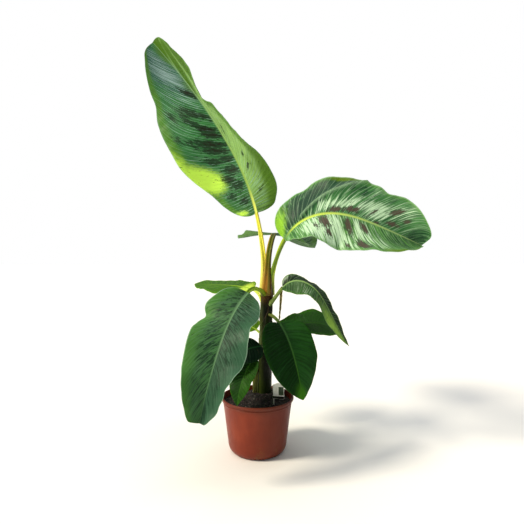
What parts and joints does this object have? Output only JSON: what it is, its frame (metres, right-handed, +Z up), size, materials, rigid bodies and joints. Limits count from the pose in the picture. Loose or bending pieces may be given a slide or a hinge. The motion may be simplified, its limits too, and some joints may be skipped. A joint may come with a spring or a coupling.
{
  "type": "potted banana plant",
  "caption": "Young banana plant in a round nursery pot, with a leaning stem of rolled leaf bases and broad, folded and drooping leaves.",
  "frame": {"origin": "on the pot's axis, at the flat underside that the pot stands on", "axes": "+Z up; +X towards the side where the broad spotted leaf spreads; -Y towards the front, where the drooping leaves hang"},
  "size_m": [0.7497, 0.6544, 1.1386],
  "materials": {
    "pot": "satin",
    "soil": "matte",
    "pseudostem": "satin",
    "sheath": "matte",
    "petiole": "satin",
    "leaf": "satin",
    "dried": "matte",
    "tag": "gloss"
  },
  "bodies": {
    "root": {"arching_inner_blade": "leaf", "arching_outer_blade": "leaf", "arching_petiole": "petiole", "back_blade": "leaf", "back_left_blade": "leaf", "back_left_petiole": "petiole", "back_petiole": "petiole", "dried_strip": "dried", "front_blade": "leaf", "front_petiole": "petiole", "left_inner_blade": "leaf", "left_outer_blade": "leaf", "left_petiole": "petiole", "low_right_blade": "leaf", "low_right_petiole": "petiole", "old_sheath": "sheath", "plant_tag": "tag", "pot": "pot", "pseudostem": "pseudostem", "right_inner_blade": "leaf", "right_outer_blade": "leaf", "right_petiole": "petiole", "rim_blade": "leaf", "rim_petiole": "petiole", "shaded_blade": "leaf", "shaded_petiole": "petiole", "soil": "soil", "sunlit_blade": "leaf", "sunlit_petiole": "petiole", "top_blade": "leaf", "top_petiole": "petiole"}
  },
  "joints": []
}
